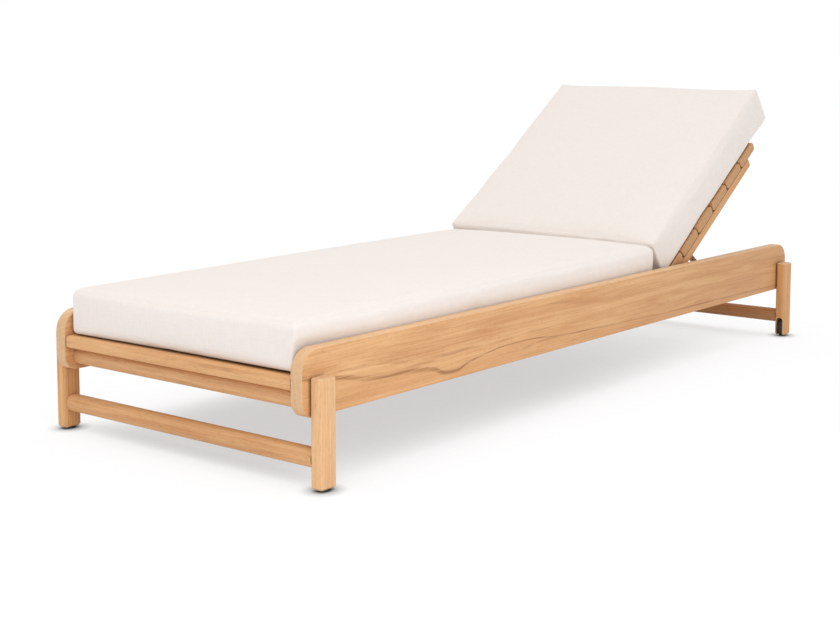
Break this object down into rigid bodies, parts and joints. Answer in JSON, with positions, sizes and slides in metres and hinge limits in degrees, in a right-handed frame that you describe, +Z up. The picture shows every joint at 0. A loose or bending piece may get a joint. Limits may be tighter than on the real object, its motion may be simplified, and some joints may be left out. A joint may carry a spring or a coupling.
{
  "type": "sun lounger",
  "caption": "Teak sun lounger with slatted seat, lifting backrest on a notched prop stay, head-end wheels and loose cushions.",
  "frame": {"origin": "on the floor, under the middle of the frame in plan", "axes": "+Z up, +Y along the lounger towards the head end and its wheels, +X to the right as seen from the foot end"},
  "size_m": [0.756, 2, 0.699],
  "materials": {
    "teak": "oiled, satin",
    "stainless_steel": "brushed",
    "wheel_rubber": "matt",
    "wheel_hub_plastic": "matt",
    "glide_plastic": "matt",
    "cushion_fabric": "woven, matt"
  },
  "bodies": {
    "frame": {"side_rail_left": "teak", "side_rail_right": "teak", "leg_foot_left": "teak", "leg_foot_right": "teak", "leg_head_left": "teak", "leg_head_right": "teak", "foot_stretcher": "teak", "head_stretcher": "teak", "foot_crossbar": "teak", "head_crossbar": "teak", "leg_bolts": "stainless_steel", "slat_ledger_left": "teak", "slat_ledger_right": "teak", "seat_slat_01": "teak", "seat_slat_02": "teak", "seat_slat_03": "teak", "seat_slat_04": "teak", "seat_slat_05": "teak", "seat_slat_06": "teak", "seat_slat_07": "teak", "seat_slat_08": "teak", "seat_slat_09": "teak", "seat_slat_10": "teak", "seat_slat_11": "teak", "seat_slat_12": "teak", "seat_slat_13": "teak", "seat_slat_14": "teak", "hinge_rail": "teak", "hinge_fixed_leaf_left": "stainless_steel", "hinge_fixed_leaf_right": "stainless_steel", "hinge_pins": "stainless_steel", "stay_rack_left": "teak", "stay_rack_right": "teak", "foot_glides": "glide_plastic", "wheel_axle_left": "stainless_steel", "wheel_axle_right": "stainless_steel", "seat_cushion": "cushion_fabric"},
    "backrest": {"back_stile_left": "teak", "back_stile_right": "teak", "back_slat_1": "teak", "back_slat_2": "teak", "back_slat_3": "teak", "back_slat_4": "teak", "back_slat_5": "teak", "back_slat_6": "teak", "hinge_moving_leaf_left": "stainless_steel", "hinge_moving_leaf_right": "stainless_steel", "stay_bracket_left": "stainless_steel", "stay_bracket_right": "stainless_steel", "stay_pivots": "stainless_steel"},
    "stay": {"stay_arm_left": "stainless_steel", "stay_arm_right": "stainless_steel", "stay_foot_bar": "stainless_steel"},
    "back_cushion": {"back_cushion": "cushion_fabric"},
    "wheel_left": {"wheel_tyre_left": "wheel_rubber", "wheel_hub_left": "wheel_hub_plastic"},
    "wheel_right": {"wheel_tyre_right": "wheel_rubber", "wheel_hub_right": "wheel_hub_plastic"}
  },
  "joints": [
    {"name": "backrest_hinge", "type": "hinge", "parent": "frame", "child": "backrest", "pos_m": [0, 0.348, 0.154], "axis": [1, 0, 0], "range_deg": [-33.7, 26.3]},
    {"name": "stay_swing", "type": "hinge", "parent": "backrest", "child": "stay", "pos_m": [0, 0.54767, 0.28716], "axis": [1, 0, 0], "range_deg": [-52.7, 67.5]},
    {"name": "back_cushion_shift", "type": "slide", "parent": "backrest", "child": "back_cushion", "axis": [0, 0.832, 0.5548], "range_m": [-0.0795, 0.062]},
    {"name": "wheel_left_spin", "type": "hinge", "parent": "frame", "child": "wheel_left", "pos_m": [-0.363, 0.9595, 0.025], "axis": [1, 0, 0], "continuous": true},
    {"name": "wheel_right_spin", "type": "hinge", "parent": "frame", "child": "wheel_right", "pos_m": [0.363, 0.9595, 0.025], "axis": [1, 0, 0], "continuous": true}
  ],
  "couplings": [
    {"joint": "stay_swing", "follows": "backrest_hinge", "ratio": -2},
    {"joint": "back_cushion_shift", "follows": "backrest_hinge", "m_per_rad": 0.134}
  ]
}
